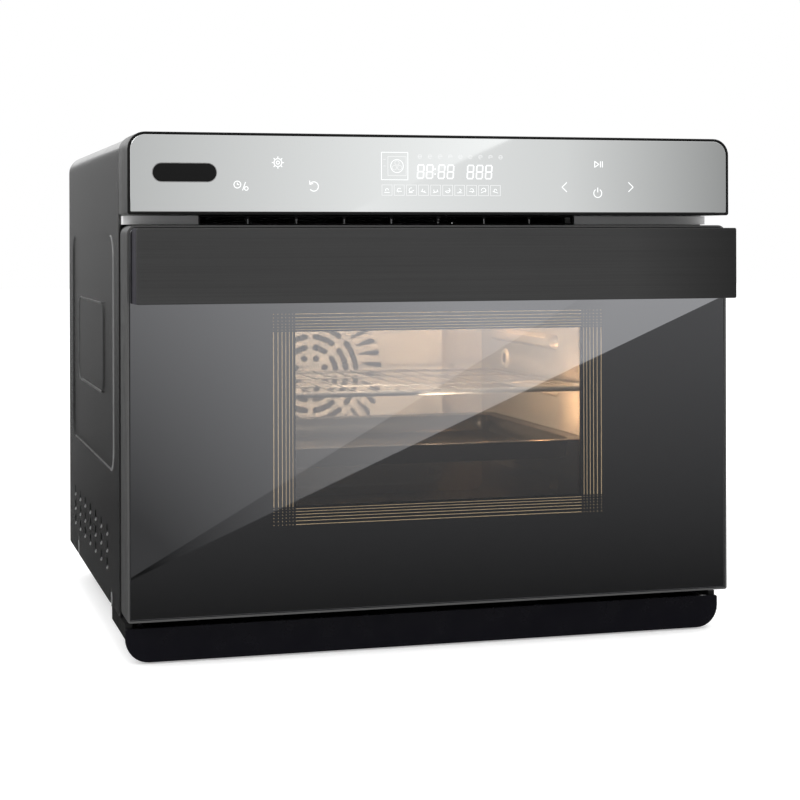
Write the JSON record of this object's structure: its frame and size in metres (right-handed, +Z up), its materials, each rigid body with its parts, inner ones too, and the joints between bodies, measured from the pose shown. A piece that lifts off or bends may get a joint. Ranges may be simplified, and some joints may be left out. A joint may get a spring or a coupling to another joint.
{
  "type": "countertop convection oven",
  "caption": "Countertop convection oven: sheet-metal casing, full-width touch control head, drop-down glass door with flat bar handle, lit cavity with rack and tray, slide-out drip tray.",
  "frame": {"origin": "bottom centre of the whole oven's box, on the surface that it stands on", "axes": "+X right as seen from the front, +Y to the back, +Z up; the door and handle face -Y"},
  "size_m": [0.52, 0.49, 0.4285],
  "materials": {
    "casing_paint": "dark grey satin powder coat",
    "steel": "galvanised sheet",
    "black_plastic": "matt black",
    "grey_trim": "satin grey coated aluminium",
    "rubber": "matt",
    "mirror_glass": "mirror-silver control glass",
    "circuit_board": "green solder mask",
    "cavity_steel": "satin stainless steel",
    "insulation": "fibre wool and ceramic",
    "heater_tube": "heat-darkened tube",
    "bright_steel": "bright chromed wire",
    "tray_enamel": "black enamel, glossy",
    "clear_glass": "clear polished",
    "dark_glass": "tinted, printed border",
    "handle_metal": "dark brushed anodised",
    "tray_plastic": "blue-black gloss"
  },
  "bodies": {
    "oven": {"outer_casing": "casing_paint", "base_plate": "steel", "back_panel": "steel", "foot_front_left": "rubber", "foot_front_right": "rubber", "foot_rear_left": "rubber", "foot_rear_right": "rubber", "front_frame": "steel", "vent_grille": "black_plastic", "filler_left": "grey_trim", "filler_right": "grey_trim", "cord_gland": "rubber", "control_housing": "grey_trim", "control_glass": "mirror_glass", "badge": "black_plastic", "display_module": "black_plastic", "control_board": "circuit_board", "cavity_liner": "cavity_steel", "insulation_blanket": "insulation", "fan_cover": "cavity_steel", "fan_motor": "black_plastic", "ring_heater": "heater_tube", "top_heater": "heater_tube", "bottom_heater": "heater_tube", "wire_rack": "bright_steel", "baking_tray": "tray_enamel", "lamp_socket": "insulation", "lamp_bulb": "clear_glass", "lamp_cover": "clear_glass", "cavity_sensor": "insulation", "door_seal": "rubber", "door_switch": "black_plastic", "thermal_cutout": "black_plastic", "cooling_duct": "steel", "cooling_motor": "black_plastic", "blower_shroud": "steel", "power_board": "circuit_board", "hinge_arm_left": "steel", "hinge_arm_right": "steel", "tray_rail_left": "steel", "tray_rail_right": "steel"},
    "door": {"door_frame": "grey_trim", "door_outer_glass": "dark_glass", "door_inner_glass": "clear_glass", "door_liner": "steel", "handle_plate": "handle_metal", "handle_bracket_left": "handle_metal", "handle_bracket_right": "handle_metal", "hinge_pin_left": "steel", "hinge_pin_right": "steel", "hinge_body_left": "steel", "hinge_body_right": "steel", "hinge_spring_left": "steel", "hinge_spring_right": "steel"},
    "drip_tray": {"drip_tray": "tray_plastic"},
    "convection_rotor": {"convection_fan": "bright_steel", "fan_shaft": "bright_steel"},
    "cooling_rotor": {"cooling_fan": "bright_steel"}
  },
  "joints": [
    {"name": "door_hinge", "type": "hinge", "parent": "oven", "child": "door", "pos_m": [0, -0.204, 0.05], "axis": [1, 0, 0], "range_deg": [0, 85], "deforming": ["hinge_spring_left", "hinge_spring_right"]},
    {"name": "drip_tray_slide", "type": "slide", "parent": "oven", "child": "drip_tray", "axis": [0, -1, 0], "range_m": [0, 0.1]},
    {"name": "convection_spin", "type": "hinge", "parent": "oven", "child": "convection_rotor", "pos_m": [-0.025, 0.17, 0.2055], "axis": [0, 1, 0], "continuous": true},
    {"name": "cooling_spin", "type": "hinge", "parent": "oven", "child": "cooling_rotor", "pos_m": [0, 0.077, 0.378], "axis": [1, 0, 0], "continuous": true}
  ]
}
